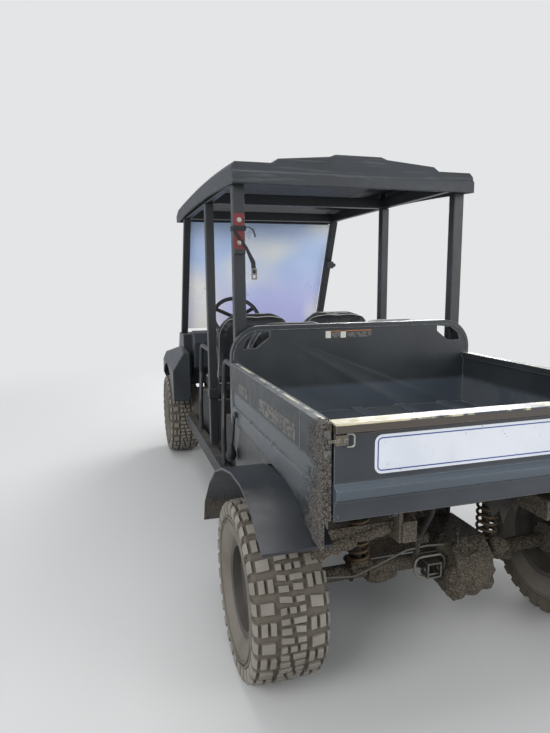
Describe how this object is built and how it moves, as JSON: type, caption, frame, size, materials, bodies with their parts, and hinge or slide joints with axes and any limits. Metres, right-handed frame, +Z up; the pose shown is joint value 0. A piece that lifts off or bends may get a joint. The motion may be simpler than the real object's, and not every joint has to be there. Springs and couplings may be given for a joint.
{
  "type": "side by side utility vehicle",
  "caption": "Open four-seat utility vehicle with a tipping cargo bed, hinged tailgate, steered front wheels, moulded roof, windshield and hitch receiver.",
  "frame": {"origin": "on the ground under the middle of the overall length and width", "axes": "+X the vehicle's left, +Y its rear, +Z up"},
  "size_m": [1.58, 3.8999, 1.9893],
  "materials": {
    "frame_paint": "satin",
    "cab_paint": "satin",
    "bed_paint": "satin",
    "moulded_plastic": "matte",
    "roof_plastic": "satin",
    "floor_plastic": "matte",
    "grip_plastic": "satin",
    "seat_vinyl": "satin",
    "hazy_polycarbonate": "matte",
    "lamp_lens": "polished",
    "red_paint": "satin",
    "webbing": "matte",
    "tyre_rubber": "matte",
    "rim_paint": "matte",
    "muddy_cast_metal": "matte",
    "bare_steel": "satin",
    "exhaust_steel": "matte",
    "line_jacket": "matte"
  },
  "bodies": {
    "chassis": {"frame": "frame_paint", "front_cowl": "moulded_plastic", "headlamps": "lamp_lens", "front_grille": "moulded_plastic", "front_bumper": "frame_paint", "floor_pan": "floor_plastic", "dash": "moulded_plastic", "seat_backs": "seat_vinyl", "seat_cushions": "seat_vinyl", "seat_bases": "floor_plastic", "rear_bulkhead": "floor_plastic", "cab_posts": "cab_paint", "roof_rails": "cab_paint", "roof": "roof_plastic", "windshield": "hazy_polycarbonate", "hip_restraints": "cab_paint", "bracket": "red_paint", "bracket_strap": "webbing", "steering_column": "frame_paint", "pedals": "frame_paint", "front_arms": "frame_paint", "front_shocks": "frame_paint", "front_drive": "muddy_cast_metal", "rack_housing": "muddy_cast_metal", "rear_axle": "muddy_cast_metal", "transaxle": "muddy_cast_metal", "rear_springs": "frame_paint", "hitch_receiver": "frame_paint", "engine": "muddy_cast_metal", "muffler": "exhaust_steel", "rear_brake_line": "line_jacket"},
    "knuckle_left": {"knuckle_left": "muddy_cast_metal"},
    "knuckle_right": {"knuckle_right": "muddy_cast_metal"},
    "rack": {"tie_rods": "bare_steel"},
    "wheel_front_left": {"tyre_front_left": "tyre_rubber", "rim_front_left": "rim_paint"},
    "wheel_front_right": {"tyre_front_right": "tyre_rubber", "rim_front_right": "rim_paint"},
    "wheel_rear_left": {"tyre_rear_left": "tyre_rubber", "rim_rear_left": "rim_paint"},
    "wheel_rear_right": {"tyre_rear_right": "tyre_rubber", "rim_rear_right": "rim_paint"},
    "steering_wheel": {"steering_wheel": "grip_plastic"},
    "bed": {"bed_tub": "bed_paint", "bed_fenders": "moulded_plastic", "bed_release_handle": "grip_plastic"},
    "tailgate": {"tailgate_panel": "bed_paint", "tailgate_latches": "bare_steel"}
  },
  "joints": [
    {"name": "steer_left", "type": "hinge", "parent": "chassis", "child": "knuckle_left", "pos_m": [0.51, -1.4, 0.3175], "axis": [0, 0, 1], "range_deg": [-30, 30]},
    {"name": "steer_right", "type": "hinge", "parent": "chassis", "child": "knuckle_right", "pos_m": [-0.51, -1.4, 0.3175], "axis": [0, 0, 1], "range_deg": [-30, 30]},
    {"name": "rack_slide", "type": "slide", "parent": "chassis", "child": "rack", "axis": [1, 0, 0], "range_m": [-0.0475, 0.0475]},
    {"name": "steering_wheel_turn", "type": "hinge", "parent": "chassis", "child": "steering_wheel", "pos_m": [0.278, -0.69, 1.147], "axis": [0, 0.8192, 0.5736], "range_deg": [-360, 360]},
    {"name": "wheel_front_left_roll", "type": "hinge", "parent": "knuckle_left", "child": "wheel_front_left", "pos_m": [0.616, -1.4, 0.3175], "axis": [1, 0, 0], "continuous": true},
    {"name": "wheel_front_right_roll", "type": "hinge", "parent": "knuckle_right", "child": "wheel_front_right", "pos_m": [-0.616, -1.4, 0.3175], "axis": [1, 0, 0], "continuous": true},
    {"name": "wheel_rear_left_roll", "type": "hinge", "parent": "chassis", "child": "wheel_rear_left", "pos_m": [0.661, 1.45, 0.3175], "axis": [1, 0, 0], "continuous": true},
    {"name": "wheel_rear_right_roll", "type": "hinge", "parent": "chassis", "child": "wheel_rear_right", "pos_m": [-0.661, 1.45, 0.3175], "axis": [1, 0, 0], "continuous": true},
    {"name": "bed_tilt", "type": "hinge", "parent": "chassis", "child": "bed", "pos_m": [0, 1.75, 0.7], "axis": [-1, 0, 0], "range_deg": [0, 45]},
    {"name": "tailgate_open", "type": "hinge", "parent": "bed", "child": "tailgate", "pos_m": [0, 1.912, 0.767], "axis": [-1, 0, 0], "range_deg": [0, 90]}
  ],
  "couplings": [
    {"joint": "steer_right", "follows": "steer_left", "ratio": 1},
    {"joint": "rack_slide", "follows": "steer_left", "m_per_rad": 0.09},
    {"joint": "steering_wheel_turn", "follows": "steer_left", "ratio": 12}
  ]
}
